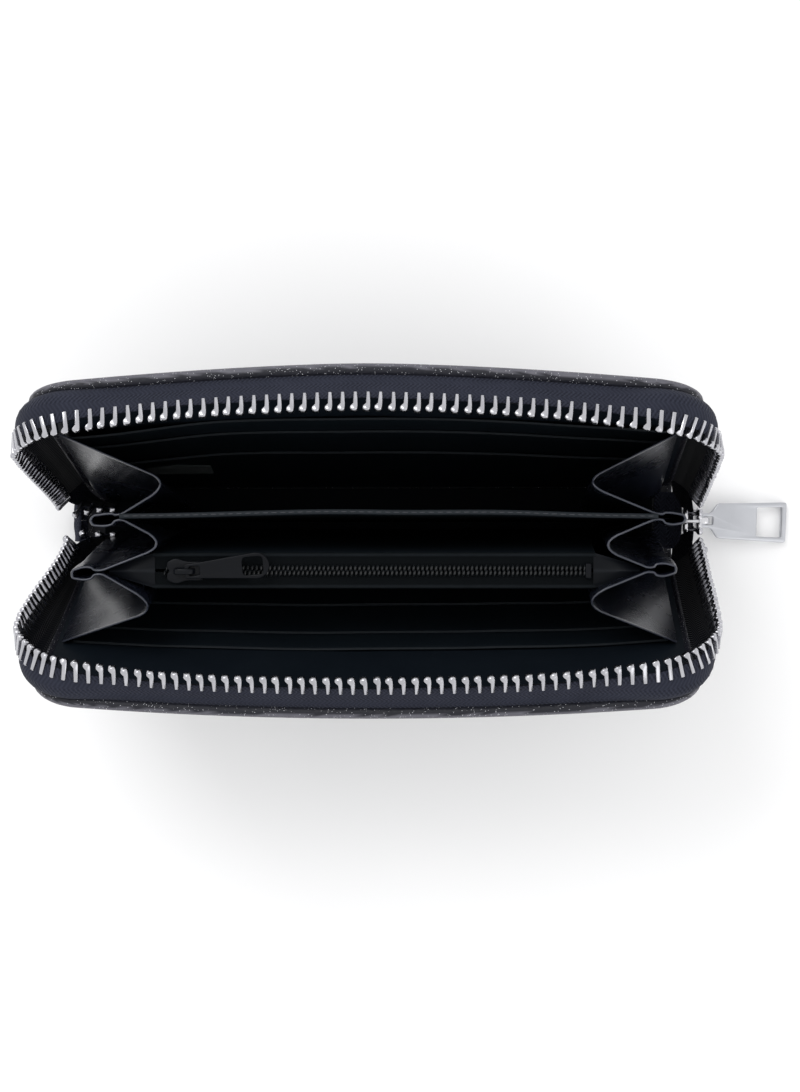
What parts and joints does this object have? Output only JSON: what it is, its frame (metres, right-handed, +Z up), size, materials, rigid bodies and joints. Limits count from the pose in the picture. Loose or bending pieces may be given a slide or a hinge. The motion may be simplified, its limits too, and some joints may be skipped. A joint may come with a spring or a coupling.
{
  "type": "long wallet",
  "caption": "Zip-around long leather wallet standing open on its spine, with pleated side gussets, card slots, a middle divider and a zipped coin pocket.",
  "frame": {"origin": "middle of the spine's flat underside, on the surface that the wallet stands on", "axes": "+X along the wallet towards the main pull, +Y towards the back cover, +Z up out of the mouth"},
  "size_m": [0.2264, 0.098, 0.1027],
  "materials": {
    "outer_leather": "grained, semi-matt",
    "edge_piping": "smooth, turned edge",
    "board": "stiffener board, unseen",
    "lining": "smooth, satin",
    "inner_leather": "smooth, satin",
    "card_leather": "smooth, satin",
    "gusset_leather": "smooth, glossy",
    "zip_tape": "herringbone woven",
    "zip_metal": "polished nickel",
    "slider_metal": "polished nickel",
    "pull_metal": "satin nickel",
    "coin_tape": "fine woven",
    "coin_coil": "nylon monofilament",
    "black_metal": "black lacquer, glossy",
    "bright_bridge": "black nickel, worn bright",
    "label": "plain woven, unprinted"
  },
  "bodies": {
    "spine": {"spine_leather": "outer_leather", "spine_board": "board", "spine_lining": "lining", "middle_divider": "inner_leather", "left_gusset_back": "gusset_leather", "left_gusset_front": "gusset_leather", "right_gusset_back": "gusset_leather", "right_gusset_front": "gusset_leather", "zip_closed_end_tape": "zip_tape", "main_zip_bottom_stop": "zip_metal", "back_tape_open_end": "zip_tape", "front_tape_open_end": "zip_tape"},
    "back_cover": {"back_cover_leather": "outer_leather", "back_cover_board": "board", "back_cover_lining": "lining", "back_card_slot_1": "card_leather", "back_card_slot_2": "card_leather", "back_card_slot_3": "card_leather", "back_zip_tape": "zip_tape", "back_edge_piping": "edge_piping", "back_zip_teeth": "zip_metal", "blank_label": "label"},
    "front_cover": {"front_cover_leather": "outer_leather", "front_cover_board": "board", "front_cover_lining": "lining", "front_card_slot_1": "card_leather", "front_card_slot_2": "card_leather", "front_card_slot_3": "card_leather", "front_zip_tape": "zip_tape", "front_edge_piping": "edge_piping", "front_zip_teeth": "zip_metal"},
    "coin_pocket": {"coin_pocket_back_wall": "inner_leather", "coin_pocket_front_wall": "inner_leather", "coin_zip_tape_back": "coin_tape", "coin_zip_tape_front": "coin_tape", "coin_zip_coil_back": "coin_coil", "coin_zip_coil_front": "coin_coil", "coin_zip_end_tab_left": "inner_leather", "coin_zip_end_tab_right": "inner_leather", "coin_zip_end_stop": "coin_coil"},
    "main_slider": {"main_slider_body": "slider_metal", "main_slider_bridge": "slider_metal"},
    "main_pull": {"main_pull_tab": "pull_metal"},
    "coin_slider": {"coin_slider_body": "black_metal", "coin_slider_bridge": "bright_bridge"},
    "coin_pull": {"coin_pull_tab": "black_metal"}
  },
  "joints": [
    {"name": "back_cover_hinge", "type": "hinge", "parent": "spine", "child": "back_cover", "pos_m": [0, 0.0124, 0.0006], "axis": [-1, 0, 0], "range_deg": [-16.6, 10], "deforming": ["left_gusset_back", "right_gusset_back"]},
    {"name": "front_cover_hinge", "type": "hinge", "parent": "spine", "child": "front_cover", "pos_m": [0, -0.0124, 0.0006], "axis": [1, 0, 0], "range_deg": [-20.4, 14], "deforming": ["left_gusset_front", "right_gusset_front"]},
    {"name": "coin_pocket_hinge", "type": "hinge", "parent": "spine", "child": "coin_pocket", "pos_m": [0, -0.0124, 0.0006], "axis": [1, 0, 0], "range_deg": [-6.2, 4.3]},
    {"name": "main_slider_slide", "type": "slide", "parent": "spine", "child": "main_slider", "axis": [0, 0, 1], "range_m": [0, 0.005]},
    {"name": "main_pull_hinge", "type": "hinge", "parent": "main_slider", "child": "main_pull", "pos_m": [0.1012, 0, 0.0064], "axis": [0, -1, 0], "range_deg": [-70, 100]},
    {"name": "coin_slider_slide", "type": "slide", "parent": "coin_pocket", "child": "coin_slider", "axis": [1, 0, 0], "range_m": [0, 0.104]},
    {"name": "coin_pull_hinge", "type": "hinge", "parent": "coin_slider", "child": "coin_pull", "pos_m": [-0.0498, -0.0111, 0.07845], "axis": [0.0872, -0.9962, 0], "range_deg": [0, 115]}
  ],
  "couplings": [
    {"joint": "coin_pocket_hinge", "follows": "front_cover_hinge", "ratio": 0.3}
  ]
}
